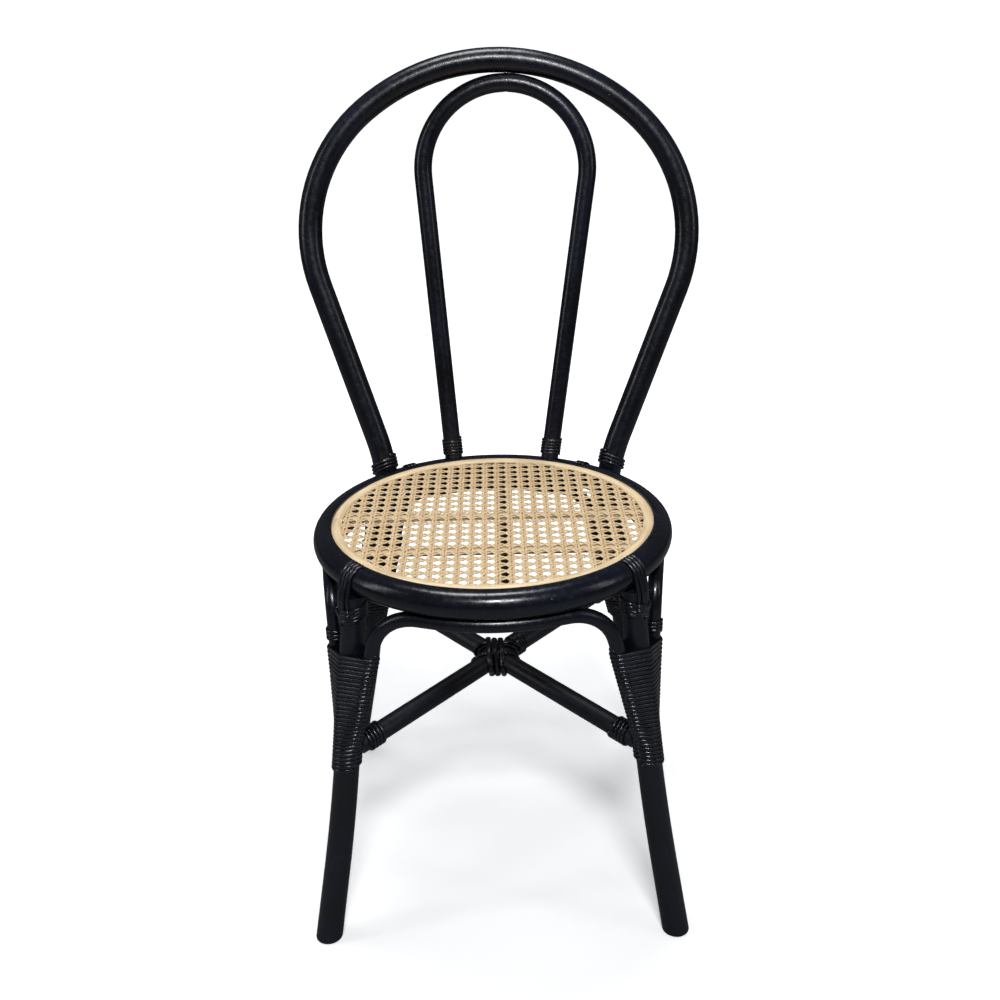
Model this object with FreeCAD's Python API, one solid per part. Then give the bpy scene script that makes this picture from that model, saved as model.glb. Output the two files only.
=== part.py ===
"""Bistro chair of bent poles, lashed with cane peel, with a round woven cane seat.

Millimetres. +Z is up, +Y is the back of the chair and +X is its left hand side as someone
sits in it, which is the right of a person who looks at its front. The origin is on the
floor, under the middle of the seat.
"""
import FreeCAD, Part
import math
import os
from FreeCAD import Vector

# Room left between pieces that only rest on each other
seat_clearance = 0.3
strip_clearance = 0.3
strand_clearance = 0.4
drill_clearance = 0.05
arch_clearance = 0.05

# Seat
seat_height = 455.5
ring_radius = 185.0
ring_pole = 31.0
rebate_radius = 180.0
rebate_depth = 5.5
cane_thickness = 0.9
cane_pitch = 17.8
cane_hole = 8.6
cane_edge_room = 6.45
rim_strip_width = 11.0
rim_strip_height = 4.0
rim_strip_side = 1.6
rim_scarf_angle = 62.0
rim_scarf_slope = 22.0
rim_scarf_kerf = 0.5
rim_scarf_reach = 22.0
centre_bar_pole = 20.0
centre_bar_x = 13.0
slat_width = 15.0
slat_thickness = 2.6
slat_places = (-80.0, 10.0)

# Back hoop, whose two ends run on down as the rear legs
hoop_pole = 28.5
hoop_rise = 488.0
hoop_set_back = 157.0
hoop_foot_drop = 10.5
hoop_recline = 12.5
hoop_lean = 1.8
hoop_shift = 5.0
hoop_crown_radius = 249.0
hoop_crown_turn = 40.0
hoop_shoulder_radius = 185.0
hoop_splay = 19.7
waist_drop = 6.0
waist_radius = 165.0
rear_knee = (161.0, 187.0)
rear_knee_drop = 155.0
rear_ankle = (174.0, 200.0)
rear_ankle_drop = 265.0
rear_foot = (208.0, 229.0)
leg_bend_share = 0.45

# Inner hoop
inner_pole = 21.5
inner_crown_radius = 98.2
inner_crown_shift = 7.3
inner_splay = 6.2
inner_foot_seat_radius = 193.5
inner_foot_spread = 60.0
inner_foot_shift = 11.0

# Front legs
front_leg_top_pole = 26.0
front_leg_foot_pole = 30.5
front_foot = (199.0, -158.0)
front_ankle = (171.0, -130.0)
front_ankle_drop = 270.0
front_knee = (147.0, -128.0)
front_knee_drop = 50.0
front_leg_top = (145.5, -128.0)
front_leg_top_drop = 14.5
foot_rounding = 2.5

# Arches under the ring
arch_pole = 16.0
arch_foot_rise = 13.0
arch_bend = 34.0
front_arch_bend = 54.0
front_arch_turn = 18.0
front_arch_run = 61.0
front_arch_foot = (-2.0, -2.0)
rear_arch_turn = 21.0
rear_arch_run = 50.0
rear_arch_foot = (-9.0, -6.0)
side_arch_front_turn = 9.0
side_arch_front_run = 71.0
side_arch_front_foot = (2.0, 14.0)
side_arch_rear_turn = 17.5
side_arch_rear_run = 88.0
side_arch_rear_foot = (8.0, -11.0)

# Crossed stretchers
stretcher_pole = 22.5
stretcher_front_rise = 20.0
stretcher_rear_rise = 64.0
front_wrap_room = 24.0
rear_wrap_room = 30.0
lap_side = 200.0
lap_depth = 60.0

# Cane peel lashings
strand = 3.6
binding_pitch = 4.4
wrap_strand = 3.2
wrap_clearance = 0.9
wrap_drop = 83.0
wrap_length = 145.0
wrap_turns = 24
saddle_passes = 4
saddle_pitch = 5.2
saddle_clearance = 0.6
saddle_top_turn = 6.0
saddle_shoulder_turn = 22.0
saddle_drop = 36.0
saddle_bend_share = 0.9
band_turns = 4
band_pitch = 5.2
band_drop = 43.0
band_tilt = 12.0
band_bulge = 2.0
hoop_lashing_turns = 3
hoop_lashing_tilt = 33.0
hoop_lashing_rise = 8.0
hoop_lashing_span = 15.0
hoop_lashing_spare = 0.8
inner_binding_turns = 4
inner_binding_rise = 4.5
stretcher_binding_turns = 5
side_arch_binding_turns = 3
side_arch_binding_rise = 4.5
centre_lashing_turns = 3
centre_lashing_pitch = 4.6
centre_lashing_bulge = 1.8

# Hidden fixings
dowel = 8.0
dowel_depth = 24.0
screw = 4.2
screw_head = 8.0
screw_head_height = 3.0
screw_grip = 26.0
screw_sink = 4.0
nail = 2.4
nail_grip = 14.0
nail_sink = 1.0
arch_nail_turn = 15.0
rear_nail_turn = 12.0
side_nail_turn = 10.0
pin = 1.4
pin_grip = 20.0
brad = 1.2
brad_length = 9.0
brad_count = 24
brad_outset = 2.2
brad_sink = 0.9
brad_start = 4.0

# How finely paths are searched and measured
halvings = 30
level_step = 2.0
gap_samples = 6
next_turn_near = 0.6
next_turn_far = 1.4
alike = 0.5
least_run = 0.01
half_room = 1000.0

# Worked out from the sizes above
side_names = {1: "right", -1: "left"}
both = (1, -1)
ring_height = seat_height - ring_pole / 2
rebate_floor = seat_height - rebate_depth
cane_top = rebate_floor + cane_thickness
slat_top = rebate_floor - seat_clearance
slat_bottom = slat_top - slat_thickness
centre_bar_height = slat_bottom - centre_bar_pole / 2
hoop_foot_height = seat_height - hoop_foot_drop
front_leg_top_height = ring_height - front_leg_top_drop
wrap_top = ring_height - wrap_drop
wrap_bottom = wrap_top - wrap_length
arch_foot_height = wrap_bottom + arch_foot_rise
stretcher_front_height = wrap_bottom + stretcher_front_rise
stretcher_rear_height = wrap_bottom + stretcher_rear_rise
saddle_bottom = ring_height - saddle_drop
band_bottom = ring_height - band_drop
hoop_lashing_height = ring_height + hoop_lashing_rise
arch_height = ring_height - ring_pole / 2 - arch_pole / 2 - arch_clearance
up = Vector(0, 0, 1)
sideways = Vector(1, 0, 0)


def turn_of(angle):
    return math.radians(angle)


def around(radius, angle, height):
    """The point at a radius and at an angle from +X, seen from above."""
    return Vector(radius * math.cos(turn_of(angle)), radius * math.sin(turn_of(angle)), height)


def unit(vector):
    return Vector(vector).normalize()


def line(start, end):
    return Part.LineSegment(start, end).toShape()


def corner_arc(start, corner, end):
    """The arc from start to end that both legs of the corner touch."""
    chord_middle = (start + end) * 0.5
    half_chord = (end - start).Length / 2
    rise = corner - chord_middle
    half_turn = math.atan2(rise.Length, half_chord)
    crest = chord_middle + unit(rise) * half_chord * math.tan(half_turn / 2)
    return Part.Arc(start, crest, end).toShape()


def corner_reach(before, corner, after, radius):
    """How far from a corner an arc of this radius begins."""
    turn = (corner - before).getAngle(after - corner)
    return radius * math.tan(turn / 2)


def bent_path(points, reaches):
    """Straight runs joined by an arc at each inner point, reaching so far each way."""
    edges = []
    start = points[0]
    for before, corner, after, reach in zip(points, points[1:], points[2:], reaches):
        arc_start = corner + unit(before - corner) * reach
        arc_end = corner + unit(after - corner) * reach
        if (arc_start - start).Length > least_run:
            edges.append(line(start, arc_start))
        edges.append(corner_arc(arc_start, corner, arc_end))
        start = arc_end
    edges.append(line(start, points[-1]))
    return edges


def disc_edge(centre, way, diameter):
    return Part.Wire([Part.makeCircle(diameter / 2, centre, way)])


def pole(edges, diameter, end_diameter=None):
    """A round pole along a path, which may grow evenly to another diameter."""
    first = edges[0]
    start = first.FirstParameter
    profiles = [disc_edge(first.valueAt(start), first.tangentAt(start), diameter)]
    if end_diameter is not None:
        last = edges[-1]
        end = last.LastParameter
        profiles.append(disc_edge(last.valueAt(end), last.tangentAt(end), end_diameter))
    return Part.Wire(edges).makePipeShell(profiles, True, False)


def loose_pole(first_edge, edges, diameter):
    """A round pole along edges in any order, of which this is the first."""
    start = first_edge.FirstParameter
    profile = disc_edge(first_edge.valueAt(start), first_edge.tangentAt(start), diameter)
    return Part.Wire(Part.__sortEdges__(edges)).makePipeShell([profile], True, False)


def rod(start, way, length, diameter):
    return Part.makeCylinder(diameter / 2, length, start, way)


def solid_of(shape):
    """The one solid that a cut leaves, without any crumb beside it."""
    return max(shape.Solids, key=lambda piece: piece.Volume)


# Legs and hoop, as points
front_leg_points = [Vector(*front_foot, 0),
                    Vector(*front_ankle, ring_height - front_ankle_drop),
                    Vector(*front_knee, ring_height - front_knee_drop),
                    Vector(*front_leg_top, front_leg_top_height)]
rear_leg_points = [Vector(*rear_foot, 0),
                   Vector(*rear_ankle, ring_height - rear_ankle_drop),
                   Vector(*rear_knee, ring_height - rear_knee_drop)]


def flip(point, side):
    return Vector(point.x * side, point.y, point.z)


def leg_reaches(points):
    """Arc reaches at the bends of a leg, as large as the runs allow."""
    reaches = []
    for before, corner, after in zip(points, points[1:], points[2:]):
        shorter = min((corner - before).Length, (after - corner).Length)
        reaches.append(shorter * leg_bend_share)
    return reaches


def below_floor(points):
    """The same points with the foot carried on under the floor, to be cut off flat."""
    foot_way = unit(points[0] - points[1])
    return [points[0] + foot_way * hoop_pole] + points[1:]


def above_floor(shape):
    side = half_room * 2
    room = Part.makeBox(side, side, side, Vector(-half_room, -half_room, 0))
    return solid_of(shape.common(room))


def round_foot(shape):
    """Rounds the edge of each flat foot."""
    edges = [edge for edge in shape.Edges if edge.BoundBox.ZMax < least_run]
    return shape.makeFillet(foot_rounding, edges)


hoop_origin = Vector(hoop_shift, hoop_set_back, hoop_foot_height)
slope_way = Vector(0, math.sin(turn_of(hoop_recline)), math.cos(turn_of(hoop_recline)))
lean = turn_of(hoop_lean)
hoop_across = sideways * math.cos(lean) - slope_way * math.sin(lean)
hoop_up = slope_way * math.cos(lean) + sideways * math.sin(lean)


def on_hoop(across, rise):
    return hoop_origin + hoop_across * across + hoop_up * rise


def hoop_side(side):
    """The bends of one side of the hoop, from its crown down to where its arcs end."""
    crown = turn_of(hoop_crown_turn)
    shoulder = turn_of(90 + hoop_splay)
    x = hoop_crown_radius * math.sin(crown)
    rise = hoop_rise - hoop_crown_radius * (1 - math.cos(crown))
    shoulder_x = x - hoop_shoulder_radius * math.sin(crown)
    shoulder_rise = rise - hoop_shoulder_radius * math.cos(crown)
    places = []
    for heading in (crown, (crown + shoulder) / 2, shoulder):
        places.append((shoulder_x + hoop_shoulder_radius * math.sin(heading),
                       shoulder_rise + hoop_shoulder_radius * math.cos(heading)))
    half_crown = (hoop_crown_radius * math.sin(crown / 2),
                  hoop_rise - hoop_crown_radius * (1 - math.cos(crown / 2)))
    return [on_hoop(side * across, height) for across, height in [half_crown] + places]


def waist(side):
    """The corner where a side of the hoop turns to go down as a rear leg."""
    end_rise = hoop_side(side)[-1]
    way = on_hoop(-side * math.sin(turn_of(hoop_splay)), -math.cos(turn_of(hoop_splay))) - hoop_origin
    fall = (end_rise.z - (ring_height - waist_drop)) / -way.z
    return end_rise + way * fall


def rear_leg_edges(side):
    """The path from under the floor up one rear leg and the side of the hoop."""
    points = below_floor([flip(point, side) for point in rear_leg_points])
    points += [waist(side), hoop_side(side)[-1]]
    reaches = leg_reaches(points[:4])
    reaches.append(corner_reach(points[2], points[3], points[4], waist_radius))
    return bent_path(points, reaches)


def make_back_hoop():
    """One pole: up a rear leg, over the hoop and down the other rear leg."""
    right = hoop_side(1)
    left = hoop_side(-1)
    top = on_hoop(0, hoop_rise)
    crown = [Part.Arc(right[3], right[2], right[1]).toShape(),
             Part.Arc(right[1], right[0], top).toShape(),
             Part.Arc(top, left[0], left[1]).toShape(),
             Part.Arc(left[1], left[2], left[3]).toShape()]
    right_leg = rear_leg_edges(1)
    hoop = loose_pole(right_leg[0], right_leg + crown + rear_leg_edges(-1), hoop_pole)
    return round_foot(above_floor(hoop))


def place_at(edges, height):
    """The point where a rising path reaches a height."""
    for edge in edges:
        low, high = edge.FirstParameter, edge.LastParameter
        if edge.valueAt(low).z > edge.valueAt(high).z:
            low, high = high, low
        if edge.valueAt(low).z <= height <= edge.valueAt(high).z:
            break
    for halving in range(halvings):
        middle = (low + high) / 2
        if edge.valueAt(middle).z < height:
            low = middle
        else:
            high = middle
    return edge.valueAt(low)


def front_leg_edges(side):
    points = below_floor([flip(point, side) for point in front_leg_points])
    return bent_path(points, leg_reaches(points))


def front_leg_radius(height):
    share = height / front_leg_top_height
    return (front_leg_foot_pole + (front_leg_top_pole - front_leg_foot_pole) * share) / 2


def rear_leg_radius(height):
    return hoop_pole / 2


full_ring = Part.makeTorus(ring_radius, ring_pole / 2, Vector(0, 0, ring_height))


def make_front_leg(side):
    """A pole that thickens to the foot, hollowed at the top to seat the ring."""
    leg = pole(front_leg_edges(side), front_leg_foot_pole, front_leg_top_pole)
    return round_foot(solid_of(above_floor(leg).cut(full_ring)))


def make_seat_ring():
    rebate = Part.makeCylinder(rebate_radius, ring_pole, Vector(0, 0, rebate_floor))
    return full_ring.cut(rebate)


def make_seat_cane():
    """The cane sheet, as one sheet with square openings."""
    radius = rebate_radius - strip_clearance
    clear_radius = rebate_radius - rim_strip_width - cane_edge_room
    outline = disc_edge(Vector(0, 0, rebate_floor), up, radius * 2)
    openings = []
    reach = int(radius / cane_pitch) + 1
    for column in range(-reach, reach + 1):
        for row in range(-reach, reach + 1):
            x, y = column * cane_pitch, row * cane_pitch
            if math.hypot(x, y) > clear_radius:
                continue
            corner = Vector(x - cane_hole / 2, y - cane_hole / 2, rebate_floor)
            openings.append(Part.makePlane(cane_hole, cane_hole, corner).OuterWire)
    print("cane openings:", len(openings))
    sheet = Part.makeFace([outline] + openings, "Part::FaceMakerBullseye")
    return sheet.extrude(Vector(0, 0, cane_thickness))


def make_rim_strip():
    """The crowned strip that clamps the cane, bent round and closed with a scarf."""
    outer = rebate_radius - strip_clearance
    inner = outer - rim_strip_width
    low_left = Vector(inner, 0, cane_top)
    low_right = Vector(outer, 0, cane_top)
    side = Vector(0, 0, rim_strip_side)
    crown = Vector((inner + outer) / 2, 0, cane_top + rim_strip_height)
    section = Part.Wire([line(low_left, low_right), line(low_right, low_right + side),
                         Part.Arc(low_right + side, crown, low_left + side).toShape(),
                         line(low_left + side, low_left)])
    strip = Part.Face(section).revolve(Vector(0, 0, 0), up, 360)
    if not strip.Solids:
        strip = Part.Solid(strip)
    scarf_middle = around((inner + outer) / 2, -rim_scarf_angle, cane_top)
    corner = Vector(-rim_scarf_reach, -rim_scarf_kerf / 2, -rim_strip_height)
    kerf = Part.makeBox(rim_scarf_reach * 2, rim_scarf_kerf, rim_strip_height * 3, corner)
    kerf.rotate(Vector(0, 0, 0), up, 90 - rim_scarf_angle - rim_scarf_slope)
    kerf.translate(scarf_middle)
    return solid_of(strip.cut(kerf))


def make_centre_bar():
    """The pole under the cane, from the front of the ring to the back."""
    start = Vector(centre_bar_x, -ring_radius, centre_bar_height)
    bar = rod(start, Vector(0, 1, 0), ring_radius * 2, centre_bar_pole)
    return solid_of(bar.cut(full_ring))


def make_cross_slats():
    slats = []
    for place in slat_places:
        slat = Part.makeBox(ring_radius * 2, slat_width, slat_thickness,
                            Vector(-ring_radius, place - slat_width / 2, slat_bottom))
        slats.append(solid_of(slat.cut(full_ring)))
    return Part.makeCompound(slats)


# Inner hoop: it stands on the ring and its crown lies under the crown of the back hoop
between_poles = hoop_pole / 2 + inner_pole / 2 + seat_clearance
between_centres = hoop_crown_radius - between_poles - inner_crown_radius
inner_centre_rise = (hoop_rise - hoop_crown_radius
                     + math.sqrt(between_centres ** 2 - inner_crown_shift ** 2))
inner_crown = on_hoop(inner_crown_shift, inner_centre_rise + inner_crown_radius)
inner_base_radius = math.sqrt(inner_foot_seat_radius ** 2 - inner_foot_spread ** 2)
inner_foot_set_back = math.sqrt(inner_base_radius ** 2 - inner_foot_shift ** 2)
inner_base = Vector(inner_foot_shift, inner_foot_set_back, seat_height)
inner_up = unit(inner_crown - inner_base)
between_feet = unit(Vector(inner_foot_set_back, -inner_foot_shift, 0))
inner_across = unit(between_feet - inner_up * between_feet.dot(inner_up))
inner_rise = (inner_crown - inner_base).Length


def on_inner(across, rise):
    return inner_base + inner_across * across + inner_up * rise


def inner_leg_points(side):
    """The straight side of the inner hoop, from inside the ring up to its crown arc."""
    splay = turn_of(inner_splay)
    centre_rise = inner_rise - inner_crown_radius
    top_across = inner_crown_radius * math.cos(splay)
    top_rise = centre_rise - inner_crown_radius * math.sin(splay)
    length = (top_rise + ring_pole / 2) / math.cos(splay)
    top = on_inner(side * top_across, top_rise)
    way = inner_across * (side * math.sin(splay)) + inner_up * math.cos(splay)
    return top - way * length, top


def make_inner_hoop():
    right_foot, right_top = inner_leg_points(1)
    left_foot, left_top = inner_leg_points(-1)
    edges = [line(right_foot, right_top), Part.Arc(right_top, inner_crown, left_top).toShape(),
             line(left_top, left_foot)]
    hoop = pole(edges, inner_pole).cut(full_ring)
    return solid_of(hoop)


# Arches
def arch_half(end_angle, way_sign, run, foot, bend=arch_bend):
    """From a foot beside a leg up to the arc that follows the ring."""
    end = around(ring_radius, end_angle, arch_height)
    tangent = around(1, end_angle + 90 * way_sign, 0)
    corner = end + tangent * run
    reach = corner_reach(foot, corner, end, bend)
    return bent_path([foot, corner, end], [reach])


def leg_place(leg_edges, height, offset=(0, 0), side=1):
    return place_at(leg_edges(side), height) + Vector(offset[0] * side, offset[1], 0)


def front_arch_side(side):
    foot = leg_place(front_leg_edges, arch_foot_height, front_arch_foot, side)
    angle = -90 + side * front_arch_turn
    return arch_half(angle, side, front_arch_run, foot, front_arch_bend)


def rear_arch_side(side):
    foot = leg_place(rear_leg_edges, arch_foot_height, rear_arch_foot, side)
    angle = 90 - side * rear_arch_turn
    return arch_half(angle, -side, rear_arch_run, foot)


def side_arch_front(side):
    foot = leg_place(front_leg_edges, arch_foot_height, side_arch_front_foot, side)
    angle = 90 - side * (90 + side_arch_front_turn)
    return arch_half(angle, -side, side_arch_front_run, foot)


def side_arch_rear(side):
    foot = leg_place(rear_leg_edges, arch_foot_height, side_arch_rear_foot, side)
    angle = 90 - side * (90 - side_arch_rear_turn)
    return arch_half(angle, side, side_arch_rear_run, foot)


def arch(first_half, second_half, middle_angle):
    """A bent pole from one leg to the next, tight under the ring."""
    first_end = first_half[-1].valueAt(first_half[-1].LastParameter)
    second_end = second_half[-1].valueAt(second_half[-1].LastParameter)
    middle = around(ring_radius, middle_angle, arch_height)
    bow = Part.Arc(first_end, middle, second_end).toShape()
    return loose_pole(first_half[0], first_half + [bow] + second_half, arch_pole)


# Stretchers
def stretcher_ends(side):
    """The leg middles that a stretcher runs between: front on one side, rear on the other."""
    front = leg_place(front_leg_edges, stretcher_front_height, side=side)
    rear = leg_place(rear_leg_edges, stretcher_rear_height, side=-side)
    return front, rear


def stretcher_pole_at(side, diameter):
    front, rear = stretcher_ends(side)
    return rod(front, unit(rear - front), (rear - front).Length, diameter)


def crossing():
    """The middle of the crossing and the three ways that it is built on."""
    front_right, rear_left = stretcher_ends(1)
    front_left, rear_right = stretcher_ends(-1)
    first = unit(rear_left - front_right)
    second = unit(rear_right - front_left)
    normal = unit(second.cross(first))
    share = -front_right.x / (rear_left.x - front_right.x)
    middle = front_right + (rear_left - front_right) * share
    return middle, unit(second - first), unit(first + second), normal


# Lashings
def biarc(start, start_way, end, end_way):
    """Two arcs that leave along one way and arrive along the other."""
    span = end - start
    ways = start_way + end_way
    spread = 2 * (1 - start_way.dot(end_way))
    forward = span.dot(ways)
    reach = (math.sqrt(forward ** 2 + spread * span.dot(span)) - forward) / spread
    first_corner = start + start_way * reach
    last_corner = end - end_way * reach
    middle = (first_corner + last_corner) * 0.5
    return [corner_arc(start, first_corner, middle), corner_arc(middle, last_corner, end)]


def quarter_arcs(places, ways):
    edges = []
    for start, start_way, end, end_way in zip(places, ways, places[1:], ways[1:]):
        edges += biarc(start, start_way, end, end_way)
    return edges


def points_on(route):
    """Points that follow a route from its start, a few on each edge."""
    points = []
    for edge in route:
        span = edge.LastParameter - edge.FirstParameter
        for step in range(gap_samples):
            points.append(edge.valueAt(edge.FirstParameter + span * step / gap_samples))
    return points


def least_gap(route, thickness, nearest, furthest):
    """The least gap of a strand to itself, on points that lie this far apart along it."""
    samples = []
    travelled = 0
    before = None
    for point in points_on(route):
        if before is not None:
            travelled += (point - before).Length
        samples.append((travelled, point))
        before = point
    least = travelled
    for index, (start, point) in enumerate(samples):
        for place, other in samples[index:]:
            if place - start > furthest:
                break
            if place - start > nearest:
                least = min(least, (point - other).Length)
    return round(least - thickness, 2)


strand_routes = {}


def winding(name, place, acrosses, rise, turns, hand=1, thickness=strand):
    """One unbroken strand in quarter turns, through the places it touches each quarter."""
    quarters = turns * 4
    places = []
    for quarter in range(-1, quarters + 2):
        places.append(place(quarter, acrosses[(quarter * hand) % 4]))
    ways = []
    for quarter in range(quarters + 1):
        onward = acrosses[((quarter + 1) * hand) % 4]
        forward = (places[quarter + 2] - places[quarter]).dot(onward) * math.pi / 4
        ways.append(unit(onward * forward + rise(quarter)))
    places = places[1:-1]
    edges = quarter_arcs(places, ways)
    lead = line(places[0] - ways[0] * thickness, places[0])
    trail = line(places[-1], places[-1] + ways[-1] * thickness)
    wound = [lead] + edges + [trail]
    strand_routes[name] = wound
    one_turn = sum(edge.Length for edge in edges) / turns
    gap = least_gap(wound, thickness, one_turn * next_turn_near, one_turn * next_turn_far)
    print(name, "least gap to itself", gap, "mm")
    return pole(wound, thickness)


def four_ways(first, second):
    return [first, second, first * -1, second * -1]


def even_winding(name, start, step, acrosses, reach, turns):
    """Turns round a straight stretch, whose centre moves on by a step each quarter turn."""

    def place(quarter, across):
        return start + step * quarter + across * reach(quarter, across)

    return winding(name, place, acrosses, lambda quarter: step, turns)


# Leg wraps: a hull of the leg and of the two arch feet that lie against it
def slanted_circle(edges, height, radius):
    """The middle of a leaning pole at a height, and its reach in the level plane there."""
    low = place_at(edges, height - level_step)
    high = place_at(edges, height + level_step)
    return place_at(edges, height), radius / unit(high - low).z


def wrap_circles(leg_edges, leg_radius, arch_sides, side, height):
    circles = [slanted_circle(leg_edges(side), height, leg_radius(height))]
    for arch_side in arch_sides:
        edges = arch_side(side)
        foot = edges[0].valueAt(edges[0].FirstParameter)
        if height > foot.z - arch_pole / 2:
            level = max(height, foot.z + level_step * 2)
            circles.append(slanted_circle(edges, level, arch_pole / 2))
    return circles


def wrap_ways(arch_sides, side):
    """Ways along and across the row of arch, leg and arch at the top of a wrap."""
    first = place_at(arch_sides[0](side), wrap_top)
    second = place_at(arch_sides[1](side), wrap_top)
    row = unit(Vector(second.x - first.x, second.y - first.y, 0))
    return four_ways(row, up.cross(row))


def wrap_place(circles, height, across, extra):
    """The furthest point of the bundle one way, with room for the strand."""
    middle, radius = max(circles, key=lambda circle: circle[0].dot(across) + circle[1])
    place = middle + across * (radius + extra)
    return Vector(place.x, place.y, height)


def leg_wrap(name, leg_edges, leg_radius, arch_sides, side):
    step = (wrap_top - wrap_bottom) / (wrap_turns * 4)

    def place(quarter, across):
        height = wrap_bottom + step * quarter
        circles = wrap_circles(leg_edges, leg_radius, arch_sides, side, height)
        return wrap_place(circles, height, across, wrap_strand / 2 + wrap_clearance)

    return winding(name, place, wrap_ways(arch_sides, side), lambda quarter: up * step,
                   wrap_turns, side, wrap_strand)


def wrapped_leg_room(leg_edges, leg_radius, arch_sides, side, height):
    """A block of the outer shape of a wrapped leg, round a height."""
    circles = wrap_circles(leg_edges, leg_radius, arch_sides, side, height + stretcher_pole / 2)
    acrosses = wrap_ways(arch_sides, side)
    extra = wrap_strand + wrap_clearance + seat_clearance
    places = [wrap_place(circles, height, acrosses[quarter % 4], extra) for quarter in range(5)]
    ways = [acrosses[(quarter + 1) % 4] for quarter in range(5)]
    outline = Part.Wire(quarter_arcs(places, ways))
    depth = stretcher_pole * 3
    block = Part.Face(outline).extrude(up * depth)
    block.translate(up * (-depth / 2))
    return block


front_arch_sides = (front_arch_side, side_arch_front)
rear_arch_sides = (rear_arch_side, side_arch_rear)


def make_stretchers():
    """Two crossed poles, halved into each other where they meet."""
    middle, across, forward, normal = crossing()
    stretchers = []
    for side in both:
        bar = stretcher_pole_at(side, stretcher_pole)
        other = stretcher_pole_at(-side, stretcher_pole)
        slab_base = 0 if side > 0 else -lap_depth
        slab_corner = Vector(-lap_side / 2, -lap_side / 2, slab_base)
        slab = Part.makeBox(lap_side, lap_side, lap_depth, slab_corner)
        at_crossing = FreeCAD.Placement(middle, FreeCAD.Rotation(across, forward, normal))
        slab.Placement = at_crossing.multiply(slab.Placement)
        bar = bar.cut(other.common(slab))
        front_room = wrapped_leg_room(front_leg_edges, front_leg_radius, front_arch_sides, side,
                                      stretcher_front_height)
        rear_room = wrapped_leg_room(rear_leg_edges, rear_leg_radius, rear_arch_sides, -side,
                                     stretcher_rear_height)
        stretchers.append(solid_of(bar.cut(front_room).cut(rear_room)))
    return stretchers


# The saddle over the ring at each front leg, and the band that ties it down
def leg_top_ways(side):
    middle = place_at(front_leg_edges(side), band_bottom)
    outward = unit(Vector(middle.x, middle.y, 0))
    return outward, up.cross(outward)


def saddle(side, name):
    """One strand that passes over the ring and back, pass beside pass."""
    outward, beside = leg_top_ways(side)
    leg_radius = front_leg_radius(saddle_bottom)
    over = ring_pole / 2 + strand / 2 + saddle_clearance
    ring_middle = outward * ring_radius + up * ring_height
    top_turn = turn_of(90 + saddle_top_turn)
    shoulder = turn_of(saddle_shoulder_turn)
    foot = place_at(front_leg_edges(side), saddle_bottom)
    foot_out = foot.dot(outward)
    top_way = outward * -math.cos(turn_of(saddle_top_turn)) - up * math.sin(turn_of(saddle_top_turn))

    def on_ring(angle, offset):
        return ring_middle + outward * (over * math.cos(angle)) + up * (over * math.sin(angle)) + offset

    def descent(number):
        """One pass, as points: ring start, its crest, shoulder, knee and foot."""
        shift = (number - (saddle_passes - 1) / 2) * saddle_pitch
        offset = beside * (shift * side)
        leg_reach = math.sqrt((leg_radius + strand / 2 + strand_clearance) ** 2 - shift ** 2)
        low = outward * (foot_out + leg_reach) + up * saddle_bottom + offset
        shoulder_place = on_ring(shoulder, offset)
        run_way = outward * math.sin(shoulder) - up * math.cos(shoulder)
        knee = shoulder_place + run_way * ((low - shoulder_place).dot(outward) / run_way.dot(outward))
        crest = on_ring((top_turn + shoulder) / 2, offset)
        return on_ring(top_turn, offset), crest, shoulder_place, knee, low

    route = []
    for number in range(saddle_passes):
        top, crest, shoulder_place, knee, low = descent(number)
        shorter = min((knee - shoulder_place).Length, (low - knee).Length)
        reach = min(shorter * saddle_bend_share, corner_reach(shoulder_place, knee, low, over))
        if number % 2 == 0:
            route.append(Part.Arc(top, crest, shoulder_place).toShape())
            route += bent_path([shoulder_place, knee, low], [reach])
            turn_start, turn_way = low, up * -1
            turn_end = descent(number + 1)[4]
        else:
            route += bent_path([low, knee, shoulder_place], [reach])
            route.append(Part.Arc(shoulder_place, crest, top).toShape())
            turn_start, turn_way = top, top_way
            turn_end = descent(number + 1)[0]
        if number < saddle_passes - 1:
            swing = (turn_end - turn_start).Length / 2
            turn_crest = (turn_start + turn_end) * 0.5 + turn_way * swing
            route.append(Part.Arc(turn_start, turn_crest, turn_end).toShape())
    gap = least_gap(route, strand, saddle_pitch * math.pi / 2, math.inf)
    print(name, "least gap to itself", gap, "mm")
    return pole(route, strand)


def leg_band(side, name):
    """Turns round the top of a front leg, over the ends of the saddle, higher on the inside."""
    outward, beside = leg_top_ways(side)
    tilt = turn_of(band_tilt)
    slanted = outward * math.cos(tilt) - up * math.sin(tilt)
    acrosses = four_ways(slanted, beside * side)
    start = place_at(front_leg_edges(side), band_bottom)
    band_top = place_at(front_leg_edges(side), band_bottom + band_pitch * band_turns)
    step = (band_top - start) * (1 / (band_turns * 4))

    def reach(quarter, across):
        on_leg = front_leg_radius(band_bottom) + strand / 2 + strand_clearance
        if across.dot(slanted) > alike:
            on_leg += strand + strand_clearance + band_bulge
        return on_leg / math.cos(tilt) if abs(across.dot(slanted)) > alike else on_leg

    return even_winding(name, start, step, acrosses, reach, band_turns)


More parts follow.
